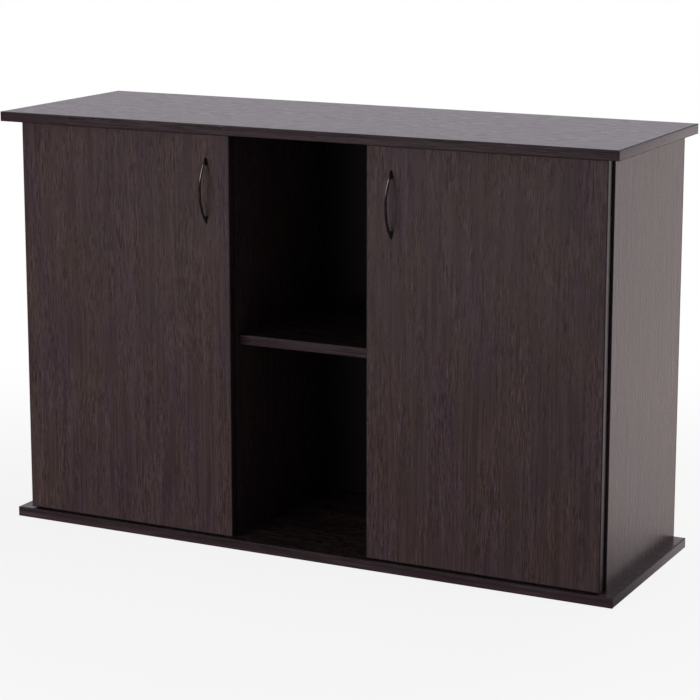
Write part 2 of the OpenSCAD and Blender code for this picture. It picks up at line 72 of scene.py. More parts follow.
# Settings that many nodes share. A Mix node takes its share at socket 0 and two numbers at 2 and 3. With
# COLOURS it takes two colours at 6 and 7 instead, and gives the mixed one at 2.
COLOURS = {"data_type": "RGBA"}
MULTIPLY = {"operation": "MULTIPLY"}
MULTIPLY_ADD = {"operation": "MULTIPLY_ADD"}
ABSOLUTE = {"operation": "ABSOLUTE"}
SMOOTH = {"interpolation_type": "SMOOTHSTEP"}


def new_material(name):
    """An empty material, its node tree and its object coordinates."""
    material = bpy.data.materials.new(name)
    material.use_nodes = True
    material.node_tree.nodes.clear()
    place = add(material.node_tree, "TexCoord", {}, {}, "Object")
    return material, material.node_tree, place


def finish_surface(tree, settings, tint=None, shine=None, relief=None):
    """Closes a material with one surface that has these settings. Its colour, roughness and relief may each
    follow a figure: between two colours, between two values, or with a strength and a depth."""
    if tint:
        settings["Base Color"] = add(tree, "Mix", COLOURS, {0: tint[0], 6: tint[1], 7: tint[2]}, 2)
    if shine:
        settings["Roughness"] = add(tree, "MapRange", {}, {"Value": shine[0], "To Min": shine[1],
                                                           "To Max": shine[2]}, 0)
    if relief:
        settings["Normal"] = add(tree, "Bump", {}, {"Height": relief[0], "Strength": relief[1],
                                                    "Distance": relief[2]}, 0)
    surface = add(tree, "BsdfPrincipled", {}, settings, 0)
    add(tree, "OutputMaterial", {}, {"Surface": surface})


def cell(grain, across_mm, along_mm):
    """Noise scale for a figure that is across_mm wide and along_mm long in the direction of the grain."""
    return [1000 / (along_mm if axis == grain else across_mm) for axis in "XYZ"]


def figure(tree, place, scale, low, high, detail=2.0):
    """Stretched noise, at a scale from cell(), spread so that it runs from 0 at low to 1 at high."""
    spot = add(tree, "VectorMath", MULTIPLY, {0: place, 1: scale}, 0)
    noise = add(tree, "TexNoise", {}, {"Vector": spot, "Scale": 1.0, "Detail": detail}, "Fac")
    return add(tree, "MapRange", {}, {"Value": noise, "From Min": low, "From Max": high}, 0)


# Printed wenge is a very dark brown, redder in some patches and mauve in others. Short streaks and pores run
# along the grain and are embossed, so its satin sheen breaks up along them. A shade is a palette: the dark
# and the light of the print, its two tints and its pores.
WENGE = linear("#1b1315", "#564649", "#422f37", "#46352d", "#6c584e")
CHIP_DARK, CHIP_LIGHT = linear("#6f5434", "#b99663")
CHIP_MM = 2.6
PRINT_SWAY = 0.003
CALM_STREAK = 0.45
STREAK_SHARE, BAND_SHARE, TONE_SHIFT = 0.85, 0.38, -0.22
TINT_SHARE = 0.40
PORE_SHARE = 0.32
SATIN_ROUGH, DULL_ROUGH, CHIP_ROUGH = 0.24, 0.34, 0.9
PORE_HEIGHT, PEARL_HEIGHT = 0.5, 0.8
EMBOSSED, EMBOSS_STRENGTH = 0.0003, 0.5
FILM = 0.00005
MELAMINE_IOR = 1.5


def wenge(name, shade, grain, grain_mm, face=None, middle=0.0, half=0.0):
    """Wenge melamine. Away from the two faces at middle plus or minus half on axis face it shows raw chips."""
    dark, light, mauve, red_brown, pore = shade
    across, along, pearl_across = grain_mm
    material, tree, place = new_material(name)
    # The print wanders sideways by a millimetre or two over a hand's length
    sway = add(tree, "VectorMath", MULTIPLY, {0: place, 1: cell(grain, 95, 600)}, 0)
    sway = add(tree, "TexNoise", {}, {"Vector": sway, "Scale": 1.0, "Detail": 1.0}, "Color")
    moved = add(tree, "VectorMath", MULTIPLY_ADD, {0: sway, 1: [PRINT_SWAY] * 3, 2: place}, 0)
    tint = figure(tree, moved, cell(grain, 40, 190), 0.36, 0.64)
    bands = figure(tree, moved, cell(grain, 3 * across, 7 * along), 0.38, 0.62)
    groups = figure(tree, moved, cell(grain, 26, 120), 0.34, 0.62)
    # Real streaks and pores are 0.2 to 0.5 mm wide, drawn four times as wide or more so that they show
    streaks = figure(tree, moved, cell(grain, across, along), 0.40, 0.60)
    pores = figure(tree, moved, cell(grain, 0.8 * across, 0.4 * along), 0.56, 0.70, 1.0)
    # Both faces are embossed with a fine pearl, here some three times too coarse
    pearl = figure(tree, place, cell(grain, pearl_across, 4.5), 0.3, 0.7, 1.0)

    streaks = add(tree, "Mix", {}, {0: groups, 2: CALM_STREAK, 3: streaks}, 0)
    shift = add(tree, "Math", MULTIPLY_ADD, {0: bands, 1: BAND_SHARE, 2: TONE_SHIFT}, 0)
    tone = add(tree, "Math", {"operation": "MULTIPLY_ADD", "use_clamp": True},
               {0: streaks, 1: STREAK_SHARE, 2: shift}, 0)
    colour = add(tree, "Mix", COLOURS, {0: tone, 6: dark, 7: light}, 2)
    tinge = add(tree, "Mix", COLOURS, {0: tint, 6: mauve, 7: red_brown}, 2)
    colour = add(tree, "Mix", COLOURS, {0: TINT_SHARE, 6: colour, 7: tinge}, 2)
    pored = add(tree, "Math", MULTIPLY, {0: pores, 1: groups}, 0)
    pored = add(tree, "Math", MULTIPLY, {0: pored, 1: PORE_SHARE}, 0)
    colour = add(tree, "Mix", COLOURS, {0: pored, 6: colour, 7: pore}, 2)
    rough = add(tree, "MapRange", {},
                {"Value": streaks, "To Min": SATIN_ROUGH, "To Max": DULL_ROUGH}, 0)
    height = add(tree, "Math", MULTIPLY_ADD, {0: pores, 1: PORE_HEIGHT, 2: streaks}, 0)
    height = add(tree, "Math", MULTIPLY_ADD, {0: pearl, 1: PEARL_HEIGHT, 2: height}, 0)

    if face:
        # Chips of wood 1 to 4 mm across, in resin
        chips = add(tree, "TexVoronoi", {}, {"Vector": place, "Scale": 1000 / CHIP_MM}, "Color")
        chips = add(tree, "SeparateColor", {}, {0: chips}, 0)
        raw = add(tree, "Mix", COLOURS, {0: chips, 6: CHIP_DARK, 7: CHIP_LIGHT}, 2)
        depth = add(tree, "SeparateXYZ", {}, {0: place}, face)
        if face == "X":
            # Left and right uprights share a print, so both sides of the middle count as the right one
            depth = add(tree, "Math", ABSOLUTE, {0: depth}, 0)
        depth = add(tree, "Math", {"operation": "SUBTRACT"}, {0: depth, 1: middle}, 0)
        depth = add(tree, "Math", ABSOLUTE, {0: depth}, 0)
        on_face = add(tree, "Math", {"operation": "GREATER_THAN"}, {0: depth, 1: half - FILM}, 0)
        colour = add(tree, "Mix", COLOURS, {0: on_face, 6: raw, 7: colour}, 2)
        rough = add(tree, "Mix", {}, {0: on_face, 2: CHIP_ROUGH, 3: rough}, 0)

    finish_surface(tree, {"Base Color": colour, "Roughness": rough, "IOR": MELAMINE_IOR},
                   relief=(height, EMBOSS_STRENGTH, EMBOSSED))
    return material


def middle_and_half(node, axis):
    """Where a node's box has its middle on an axis, and half its size along it."""
    low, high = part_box(node)
    return (low[axis] + high[axis]) / 2, (high[axis] - low[axis]) / 2


def finish_node(node, material):
    """Gives a CAD node its material."""
    nodes[node].data.materials.clear()
    nodes[node].data.materials.append(material)


# The streaks' width and length and the pearl's width. Boards seen at a slant have them drawn wider still.
UPRIGHT_GRAIN = (1.2, 24, 3.2)
SIDE_GRAIN = (4, 60, 7)
LYING_GRAIN = (9, 26, 16)
for title, kind, grain_mm in (("side panel", "side_panel", SIDE_GRAIN), ("divider", "divider", UPRIGHT_GRAIN)):
    middle, half = middle_and_half("right_" + kind, 0)
    upright_print = wenge("wenge melamine, " + title, WENGE, "Z", grain_mm, "X", middle, half)
    for side in ("left_", "right_"):
        finish_node(side + kind, upright_print)

for node in ("top_board", "base_board", "centre_shelf"):
    middle, half = middle_and_half(node, 2)
    print_name = "wenge melamine, " + node.replace("_", " ")
    finish_node(node, wenge(print_name, WENGE, "X", LYING_GRAIN, "Z", middle, half))


# Edge banding
# Strips of 2 mm wenge-printed plastic, darker than the boards' faces, glued over the sawn edges and trimmed.
# The cutter rounds the outer arrises to about 1.4 mm and leaves a fine line where a strip meets the board.

NEAR = 1e-6
BAND_ROUND = 0.0014
BAND_LINE = 0.00012
SLANTED = 0.999
CUTTER_MM = 1.0
BAND_GRAIN = (3, 120, 3)
BAND = linear("#150d10", "#45343b", "#34242b", "#322625", "#58443f")
BAND_CORE, BAND_CORE_LIGHT = linear("#1a1517", "#282123")

band_along_x = wenge("wenge edge banding, along x", BAND, "X", BAND_GRAIN)
band_along_y = wenge("wenge edge banding, along y", BAND, "Y", BAND_GRAIN)
band_upright = wenge("wenge edge banding, upright", BAND, "Z", BAND_GRAIN)


def trimmed_plastic():
    """The banding's plain plastic, dull where the cutter has taken the print off and left fine marks."""
    material, tree, place = new_material("edge banding plastic, trimmed")
    marks = figure(tree, place, cell("Z", CUTTER_MM, CUTTER_MM), 0.35, 0.65)
    finish_surface(tree, {"IOR": MELAMINE_IOR},
                   (marks, BAND_CORE, BAND_CORE_LIGHT), (marks, 0.55, 0.70), (marks, 0.2, 0.0001))
    return material


band_core = trimmed_plastic()


def mode(name):
    bpy.ops.object.mode_set(mode=name)


def pick_all():
    bpy.ops.mesh.select_all(action="SELECT")


def draw_out(*move):
    """In edit mode, extrudes what is selected by this move."""
    bpy.ops.mesh.extrude_region_move(TRANSFORM_OT_translate={"value": move})


def pick(kind, test):
    """In edit mode, selects only the verts, edges or faces for which test is true."""
    bpy.ops.mesh.select_mode(type={"verts": "VERT", "edges": "EDGE", "faces": "FACE"}[kind])
    bpy.ops.mesh.select_all(action="DESELECT")
    shape = bmesh.from_edit_mesh(bpy.context.object.data)
    for part in getattr(shape, kind):
        part.select_set(test(part))
    bmesh.update_edit_mesh(bpy.context.object.data)


def on_plane(part, axis, place):
    """True if all of an edge's or face's corners lie at place on that axis."""
    return all(abs(corner.co[axis] - place) < NEAR for corner in part.verts)


def select_only(*pieces):
    """Selects these pieces and nothing else, and makes the first one active."""
    bpy.ops.object.select_all(action="DESELECT")
    for piece in pieces:
        piece.select_set(True)
    if pieces:
        bpy.context.view_layer.objects.active = pieces[0]


def fix_place():
    """Puts the selected object's place, turn and size into its mesh."""
    bpy.ops.object.transform_apply(location=True, rotation=True, scale=True)


def coated(piece, *materials):
    """Gives a piece its materials."""
    for material in materials:
        piece.data.materials.append(material)
    return piece


def new_shape(make, **settings):
    """A primitive with these settings, its place and size in its mesh."""
    select_only()
    make(**settings)
    fix_place()
    return bpy.context.object


def block(low, high):
    """A box from its lowest corner to its highest."""
    low, high = Vector(low), Vector(high)
    return new_shape(bpy.ops.mesh.primitive_cube_add, size=1, location=(low + high) / 2, scale=high - low)


def strip(low, high, axis, side, material):
    """A glued strip whose outer face is the one on that side of the axis."""
    piece = coated(block(low, high), material, band_core)
    outer, inner = (high[axis], low[axis]) if side > 0 else (low[axis], high[axis])
    mode("EDIT")
    pick("edges", lambda edge: on_plane(edge, axis, inner))
    bpy.ops.mesh.bevel(offset=BAND_LINE, segments=1)
    pick("edges", lambda edge: on_plane(edge, axis, outer))
    bpy.ops.mesh.bevel(offset=BAND_ROUND, segments=4)
    # The cut arrises are the faces that look along no axis
    pick("faces", lambda face: max(map(abs, face.normal)) < SLANTED)
    piece.active_material_index = 1
    bpy.ops.object.material_slot_assign()
    mode("OBJECT")
    return piece


def join(pieces, name):
    """Makes one object of several."""
    select_only(*pieces)
    if len(pieces) > 1:
        bpy.ops.object.join()
    pieces[0].name = name
    return pieces[0]


def settle(piece, body, node):
    """Smooths a finished piece, hangs it on the body that it rides on and hides the CAD node that it stands
    for.
    """
    select_only(piece)
    bpy.ops.object.shade_smooth_by_angle(angle=math.radians(35))
    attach(piece, body)
    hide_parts(node)


def ring(board, edging, body, full, between):
    """The four strips round a board: one pair at the board's full length, the other pair between them. Each
    pair is given as the axis on which its strips face each other and their material."""
    strips = []
    full_axis = full[0]
    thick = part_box(board)[0][full_axis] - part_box(edging)[0][full_axis]
    for axis, material in (full, between):
        for side in (-1, 1):
            low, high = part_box(edging)
            if axis != full_axis:
                low[full_axis] += thick
                high[full_axis] -= thick
            if side > 0:
                low[axis] = high[axis] - thick
            else:
                high[axis] = low[axis] + thick
            strips.append(strip(low, high, axis, side, material))
    settle(join(strips, edging.replace("edging", "edge_bands")), body, edging)


for board in ("base_board", "top_board"):
    ring(board, board + "_edging", "cabinet", (1, band_along_x), (0, band_along_y))

for board in ("left_side_panel", "right_side_panel", "left_divider", "right_divider", "centre_shelf"):
    material = band_along_x if board == "centre_shelf" else band_upright
    front = strip(*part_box(board + "_edging"), 1, -1, material)
    settle(join([front], board + "_edge_band"), "cabinet", board + "_edging")


# Back panel
# 3 mm high-density fibreboard, lacquered dark on the inside and left raw behind. It is nailed over the
# back edges of the uprights, and two notches in its upper edge let hoses and cables out.

FIBRE_LACQUER, FIBRE_LACQUER_LIGHT = linear("#120d10", "#1a1417")
FIBRE_RAW_DARK, FIBRE_RAW = linear("#5b4029", "#7b5a3a")
RAW_ROUGH, LACQUER_ROUGH = 0.85, 0.5


def fibreboard():
    """Matted wood fibres, pale brown and dull, under dark lacquer on the face that looks into the bay."""
    material, tree, place = new_material("high-density fibreboard, one side lacquered")
    low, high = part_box("back_panel")
    depth = add(tree, "SeparateXYZ", {}, {0: place}, "Y")
    inside = add(tree, "Math", {"operation": "LESS_THAN"}, {0: depth, 1: low.y + FILM}, 0)
    # Fibres matted in bundles about 1.5 mm across, with darker clouds some centimetres wide
    fibres = figure(tree, place, cell("Z", 1.6, 3.0), 0.35, 0.65, 3.0)
    clouds = figure(tree, place, cell("Z", 30, 60), 0.35, 0.65)
    pale = add(tree, "Math", MULTIPLY, {0: fibres, 1: 0.8}, 0)
    cloudy = add(tree, "Math", MULTIPLY, {0: clouds, 1: 0.3}, 0)
    raw = add(tree, "Mix", COLOURS, {0: pale, 6: FIBRE_RAW_DARK, 7: FIBRE_RAW}, 2)
    raw = add(tree, "Mix", COLOURS, {0: cloudy, 6: raw, 7: FIBRE_RAW_DARK}, 2)
    lacquer = add(tree, "Mix", COLOURS, {0: fibres, 6: FIBRE_LACQUER, 7: FIBRE_LACQUER_LIGHT}, 2)
    colour = add(tree, "Mix", COLOURS, {0: inside, 6: raw, 7: lacquer}, 2)
    rough = add(tree, "Mix", {}, {0: inside, 2: RAW_ROUGH, 3: LACQUER_ROUGH}, 0)
    finish_surface(tree, {"Base Color": colour, "Roughness": rough, "IOR": MELAMINE_IOR},
                   relief=(fibres, 0.3, 0.0002))
    return material


finish_node("back_panel", fibreboard())


# Dowels
# Turned and fluted beech, 8 mm by 30 mm, with chamfered ends. They are glued across each joint between an
# upright and the top or the base, and keep the boards in line.

DOWEL_R = 0.004
DOWEL_LENGTH = 0.030
DOWEL_CHAMFER = 0.0012
DOWEL_SIDES = 48
FLUTE = 0.0004
BEECH_LIGHT, BEECH_DARK = linear("#cda672", "#a97f4e")
BEECH_ROUGH = 0.62


def beech():
    """Pale straight-grained wood with the short dark flecks that beech shows."""
    material, tree, place = new_material("fluted beech")
    fibre = figure(tree, place, cell("Z", 0.9, 22), 0.3, 0.7)
    flecks = figure(tree, place, cell("Z", 0.5, 2.5), 0.6, 0.7, 0.0)
    flecks = add(tree, "Math", MULTIPLY, {0: flecks, 1: 0.5}, 0)
    colour = add(tree, "Mix", COLOURS, {0: fibre, 6: BEECH_LIGHT, 7: BEECH_DARK}, 2)
    colour = add(tree, "Mix", COLOURS, {0: flecks, 6: colour, 7: BEECH_DARK}, 2)
    finish_surface(tree, {"Base Color": colour, "Roughness": BEECH_ROUGH}, relief=(fibre, 0.3, 0.0001))
    return material


def shifted(x, y, z):
    return Matrix.Translation((x, y, z))


def set_out(model, slot, *groups):
    """Copies a model to each spot of a group, settles the copies as one piece and does so for each group. A
    group is its name, its body, the node that it stands for and its spots. The model itself goes."""
    for name, body, node, spots in groups:
        made = []
        for spot in spots:
            made.append(bpy.data.objects.new(name, model.data.copy()))
            bpy.context.collection.objects.link(made[-1])
            made[-1].matrix_world = spot
        whole = join(made, name)
        select_only(whole)
        fix_place()
        settle(whole, body, node)
    bpy.data.objects.remove(model)


def dowel():
    """A fluted dowel that stands on the origin."""
    piece = new_shape(bpy.ops.mesh.primitive_cylinder_add, vertices=DOWEL_SIDES, radius=DOWEL_R,
                      depth=DOWEL_LENGTH, location=(0, 0, DOWEL_LENGTH / 2))
    mode("EDIT")
    # Every third edge of the barrel is pressed in to make a flute
    def flute(edge):
        upright = abs(edge.verts[0].co.z - edge.verts[1].co.z) > DOWEL_LENGTH / 2
        angle = math.degrees(math.atan2(edge.verts[0].co.y, edge.verts[0].co.x))
        return upright and round(angle * DOWEL_SIDES / 360) % 3 == 0
    pick("edges", flute)
    shrink = 1 - FLUTE / DOWEL_R
    bpy.ops.transform.resize(value=(shrink, shrink, 1), center_override=(0, 0, 0))
    pick("edges", lambda edge: on_plane(edge, 2, 0) or on_plane(edge, 2, DOWEL_LENGTH))
    bpy.ops.mesh.bevel(offset=DOWEL_CHAMFER, segments=1)
    mode("OBJECT")
    return coated(piece, beech())


upright_x = [middle_and_half(node, 0)[0] for node in
             ("left_side_panel", "left_divider", "right_divider", "right_side_panel")]
groups = []
for node in ("base_dowels", "top_dowels"):
    low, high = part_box(node)
    spots = [shifted(x, y, low.z) for x in upright_x for y in (low.y + DOWEL_R, high.y - DOWEL_R)]
    groups.append(("fluted_" + node, "cabinet", node, spots))
set_out(dowel(), "beech", *groups)


# Confirmat screws
# One-piece steel screws, zinc plated, with a wide thread, a plain neck, a countersunk head and a hexagon
# socket. Eight come up through the base into the uprights, and four hold the shelf between the dividers.

CONFIRMAT_HEAD = ((0.0050, 0.0), (0.0050, 0.0003), (0.0035, 0.0035), (0.0035, 0.0175))
CONFIRMAT_NECK_END = 0.0185
CONFIRMAT_THREAD_START = 0.020
CONFIRMAT_CORE_R = 0.0019
CONFIRMAT_THREAD_R = 0.0025
CONFIRMAT_PITCH = 0.0031
CONFIRMAT_LENGTH = 0.050
CONFIRMAT_POINT = 0.005
CONFIRMAT_POINT_R = 0.0006
SOCKET_R = 0.0023
SOCKET_DEPTH = 0.0025
SOCKET_CONE = 0.0008
ZINC, ZINC_LIGHT = linear("#8f9092", "#a6a8ab")


def plated_steel(name, colour, light, rough, rough_high):
    """Bright plating on steel: a fine mottle of crystals, a little duller in patches."""
    material, tree, place = new_material(name)
    mottle = figure(tree, place, cell("Z", 1.6, 1.6), 0.35, 0.65, 3.0)
    haze = figure(tree, place, cell("Z", 9, 9), 0.35, 0.65)
    finish_surface(tree, {"Metallic": 1.0},
                   (mottle, colour, light), (haze, rough, rough_high), (mottle, 0.12, 0.00004))
    return material


zinc_plate = plated_steel("zinc-plated steel", ZINC, ZINC_LIGHT, 0.26, 0.40)


def spun(degrees, axis):
    return Matrix.Rotation(math.radians(degrees), 4, axis)


def turned(profile, sides=32):
    """A solid turned about Z. The profile gives radius and height from its first face to its last."""
    (now_r, now_z), rest = profile[0], profile[1:]
    piece = new_shape(bpy.ops.mesh.primitive_circle_add, vertices=sides, radius=now_r, fill_type="NGON",
                      location=(0, 0, now_z))
    mode("EDIT")
    bpy.ops.mesh.select_mode(type="FACE")
    pick_all()
    for next_r, next_z in rest:
        draw_out(0, 0, next_z - now_z)
        scale = next_r / now_r
        bpy.ops.transform.resize(value=(scale, scale, 1), center_override=(0, 0, next_z))
        now_r, now_z = next_r, next_z
    pick_all()
    bpy.ops.mesh.normals_make_consistent(inside=False)
    mode("OBJECT")
    return piece


def laid(piece, place):
    """Turns and moves a finished shape by a matrix."""
    select_only(piece)
    piece.matrix_world = place
    fix_place()
    return piece


def modify(piece, kind, **settings):
    """Applies a modifier with these settings."""
    modifier = piece.modifiers.new(kind, kind)
    for setting, value in settings.items():
        setattr(modifier, setting, value)
    select_only(piece)
    bpy.ops.object.modifier_apply(modifier=kind)


def cut(piece, tool, operation="DIFFERENCE"):
    """Cuts a tool out of a piece, or adds it, and throws the tool away."""
    modify(piece, "BOOLEAN", operation=operation, solver="EXACT", object=tool)
    bpy.data.objects.remove(tool)
    return piece


def close_seams():
    """In edit mode, merges corners that lie together, closes a thread's open ends and turns all faces
    outwards."""
    pick_all()
    bpy.ops.mesh.remove_doubles(threshold=NEAR)
    bpy.ops.mesh.fill_holes(sides=3)
    pick_all()
    bpy.ops.mesh.normals_make_consistent(inside=False)


# A ridge's half width as a share of the pitch, and the steps of one turn
RIDGE = 0.30
THREAD_STEPS = 16


def thread(core_r, crest_r, pitch, start, end):
    """The ridge of a screw thread, from height start to height end."""
    ridge = new_shape(bpy.ops.mesh.primitive_circle_add, vertices=3, radius=1)
    # The triangle's point is turned outwards, and its foot lies just inside the core
    ridge.rotation_euler = (math.radians(90), math.radians(90), 0)
    ridge.scale = (pitch * RIDGE, (crest_r - core_r) / 1.4, 1)
    fix_place()
    reach = max(corner.co.x for corner in ridge.data.vertices)
    bpy.ops.transform.translate(value=(crest_r - reach, 0, start))
    fix_place()
    modify(ridge, "SCREW", screw_offset=pitch, iterations=max(1, int((end - start) / pitch)),
           steps=THREAD_STEPS, render_steps=THREAD_STEPS)
    mode("EDIT")
    close_seams()
    mode("OBJECT")
    return ridge


def confirmat():
    """A confirmat screw that stands on its head at the origin."""
    tip = CONFIRMAT_LENGTH - CONFIRMAT_POINT
    core = turned(CONFIRMAT_HEAD + ((CONFIRMAT_CORE_R, CONFIRMAT_NECK_END), (CONFIRMAT_CORE_R, tip),
                                    (CONFIRMAT_POINT_R, CONFIRMAT_LENGTH)))
    socket = turned(((SOCKET_R, -0.001), (SOCKET_R, SOCKET_DEPTH),
                     (SOCKET_R * 0.3, SOCKET_DEPTH + SOCKET_CONE)), 6)
    core = cut(core, socket)
    ridge = thread(CONFIRMAT_CORE_R, CONFIRMAT_THREAD_R, CONFIRMAT_PITCH, CONFIRMAT_THREAD_START, tip)
    return coated(join([core, ridge], "confirmat"), zinc_plate)


# The fixings stand in two rows, in line with the cams that are fitted next
CAM_R = 0.0075
low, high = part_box("top_cam_locks")
fixing_y = (low.y + CAM_R, high.y - CAM_R)
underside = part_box("base_confirmat_screws")[0].z
low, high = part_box("shelf_confirmat_screws")
middle_z = (low.z + high.z) / 2
set_out(confirmat(), "zinc_plated_steel",
        ("base_confirmats", "cabinet", "base_confirmat_screws",
         [shifted(x, y, underside) for x in upright_x for y in fixing_y]),
        ("shelf_confirmats", "cabinet", "shelf_confirmat_screws",
         [shifted(x, y, middle_z) @ spun(degrees, "Y")
          for y in fixing_y for x, degrees in ((high.x, -90), (low.x, 90))]))


# Cam bolts and cam locks
# A steel bolt is screwed up into the top board, and its head hangs in a zinc cam let into the upright's
# inner face. A third of a turn of the cam draws the top down. The cam's face shows a cross for the driver.

BOLT_PROFILE = ((0.0028, 0.0), (0.0032, 0.0004), (0.0032, 0.0020), (0.0028, 0.0024), (0.0020, 0.0026),
                (0.0020, 0.0060), (0.0030, 0.0066), (0.0030, 0.0355), (0.0027, 0.0360))
BOLT_CORE_R = 0.0018
BOLT_THREAD_R = 0.0025
BOLT_PITCH = 0.0016
BOLT_COLLAR_END = 0.0362
BOLT_THREAD_START = 0.0365
BOLT_THREAD_TOP = 0.0470
BOLT_POINT = 0.001
BOLT_POINT_R = 0.0012
CAM_DEPTH = 0.0135
CAM_RIM = 0.0007
CAM_CROSS_DEPTH = 0.0035
CAM_CROSS_SHAPE = 0.22
CAM_SLOT_R = 0.0036
CAM_SLOT_LENGTH = 0.012
CAM_SLOT_DEPTH = 0.009
CAST_GREY, CAST_LIGHT = linear("#8a8b8c", "#a3a4a5")

cast_zinc = plated_steel("die-cast zinc", CAST_GREY, CAST_LIGHT, 0.38, 0.55)


def cam_bolt():
    """A cam bolt whose head stands on the origin. Its collar ends where the top board begins."""
    tip = BOLT_THREAD_TOP - BOLT_POINT
    core = turned(BOLT_PROFILE + ((BOLT_CORE_R, BOLT_COLLAR_END), (BOLT_CORE_R, tip),
                                  (BOLT_POINT_R, BOLT_THREAD_TOP)))
    ridge = thread(BOLT_CORE_R, BOLT_THREAD_R, BOLT_PITCH, BOLT_THREAD_START, tip)
    return coated(join([core, ridge], "cam_bolt"), zinc_plate)


low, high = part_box("top_cam_bolts")
spots = [shifted(x, y, low.z) for x in upright_x for y in fixing_y]
set_out(cam_bolt(), "zinc_plated_steel", ("cam_bolts", "cabinet", "top_cam_bolts", spots))


def cam_lock():
    """A cam that lies face up on the origin, its body below, with the bolt's way in from one side."""
    piece = turned(((CAM_R - 0.0005, -CAM_DEPTH), (CAM_R, 0.0005 - CAM_DEPTH), (CAM_R, -0.0004),
                    (CAM_R - 0.0004, 0.0), (CAM_R - CAM_RIM, 0.0), (CAM_R - CAM_RIM - 0.0003, -0.0005),
                    (0.0052, -0.0005), (0.0050, 0.0)), 48)
    for degrees in (0, 90):
        arm = turned(((0.0045, -CAM_CROSS_DEPTH), (0.0050, 0.001)), 4)
        piece = cut(piece, laid(arm, spun(degrees, "Z") @ Matrix.Diagonal((1, CAM_CROSS_SHAPE, 1, 1))))
    # The slot that the bolt's head hangs in
    slot = turned(((CAM_SLOT_R, 0.0), (CAM_SLOT_R, CAM_SLOT_LENGTH)), 24)
    piece = cut(piece, laid(slot, shifted(0, -CAM_SLOT_R, -CAM_SLOT_DEPTH) @ spun(-90, "X")))
    return coated(piece, cast_zinc)


low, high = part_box("top_cam_locks")
side_face = high.x - CAM_DEPTH
divider_face = sum(middle_and_half("right_divider", 0))
spots = []
for y in fixing_y:
    for x, degrees in ((-side_face, 90), (side_face, -90), (-divider_face, -90), (divider_face, 90)):
        # The face looks along the turned Z, and the slot looks up to the top board
        spots.append(shifted(x, y, (low.z + high.z) / 2) @ spun(degrees, "Y") @ spun(-degrees, "Z") @
                     spun(180, "Z"))
set_out(cam_lock(), "zinc_plated_steel", ("cam_locks", "cabinet", "top_cam_locks", spots))


# Back panel nails
# Short zinc-plated nails with a flat, slightly domed head, driven through the panel into the uprights'
# back edges and the shelf's.

NAIL_PROFILE = ((0.0002, 0.0), (0.0007, 0.0018), (0.0007, 0.0180), (0.0019, 0.0181), (0.0020, 0.0183),
                (0.0018, 0.0186), (0.0010, 0.0188))
NAIL_HEAD_R = 0.002
NAILS_PER_UPRIGHT = 6
SHELF_NAIL_X = 0.0675

low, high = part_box("back_panel_nails")
lowest, highest = low.z + NAIL_HEAD_R, high.z - NAIL_HEAD_R
nail_z = [lowest + i * (highest - lowest) / (NAILS_PER_UPRIGHT - 1) for i in range(NAILS_PER_UPRIGHT)]
shelf_z = middle_and_half("centre_shelf", 2)[0]
places = [(x, z) for x in upright_x for z in nail_z] + [(-SHELF_NAIL_X, shelf_z), (SHELF_NAIL_X, shelf_z)]
spots = [shifted(x, low.y, z) @ spun(-90, "X") for x, z in places]
set_out(coated(turned(NAIL_PROFILE, 16), zinc_plate), "zinc_plated_steel",
        ("panel_nails", "cabinet", "back_panel_nails", spots))


# Doors
# The same chipboard as the carcass, with the grain upright. The hinge cups' bores and the handle's two
# holes are drilled before the edges are banded on all four sides.

for side in ("left_", "right_"):
    middle, half = middle_and_half(side + "door_panel", 1)
    print_name = "wenge melamine, " + side + "door"
    finish_node(side + "door_panel", wenge(print_name, WENGE, "Z", UPRIGHT_GRAIN, "Y", middle, half))
    ring(side + "door_panel", side + "door_edging", side + "door", (0, band_upright), (2, band_along_x))


# Hinge cups and pins
# Two concealed hinges to a door, pressed from nickel-plated steel. The cup sits in a 35 mm bore in the
# door's back with a screw through each wing, and a pin between two lugs inside it carries the arm.

SHEET = 0.0012
CUP_R = 0.0175
CUP_FLANGE_R = 0.0189
CUP_FLANGE = 0.001
CUP_WING_R = 0.006
CUP_WING_REACH = 0.0225
CUP_WING_BACK = 0.0095
CUP_LUG_TOP = 0.0062
CUP_LUG_BACK = 0.003
NECK_W = 0.009
NECK_ROOM = 0.0003
HOLE_ROOM = 0.00005
OVERCUT = 0.001
SMALL_SCREW_R = 0.00175
NICKEL, NICKEL_LIGHT = linear("#aba69d", "#c3beb5")

nickel_plate = plated_steel("nickel-plated steel", NICKEL, NICKEL_LIGHT, 0.16, 0.28)

low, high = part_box("right_upper_hinge_cup")
cup_x, cup_floor = (low.x + high.x) / 2, low.y
cup_depth = high.y - low.y
levels = [(level, middle_and_half("right_" + level + "_hinge_cup", 2)[0]) for level in ("upper", "lower")]
low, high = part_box("right_hinge_pins")
pin_x, pin_y, pin_r = (low.x + high.x) / 2, (low.y + high.y) / 2, (high.x - low.x) / 2
pin_half = high.z - levels[0][1]


def round_ended(profile, axis, reach):
    """A flat bar with round ends: a turned shape whose halves are moved apart along an axis. It is first
    turned by half a side, so that no corner stands on the line where it is parted."""
    piece = laid(turned(profile), spun(360 / 64, "Z"))
    mode("EDIT")
    for side in (-1, 1):
        pick("verts", lambda corner: corner.co[axis] * side > 0)
        move = [0, 0, 0]
        move[axis] = side * reach
        bpy.ops.transform.translate(value=move)
    mode("OBJECT")
    return piece


def bored(piece, radius, start, end, place):
    """Bores a round hole between two heights of a place."""
    drill = turned(((radius + HOLE_ROOM, start), (radius + HOLE_ROOM, end)), 24)
    return cut(piece, laid(drill, place))


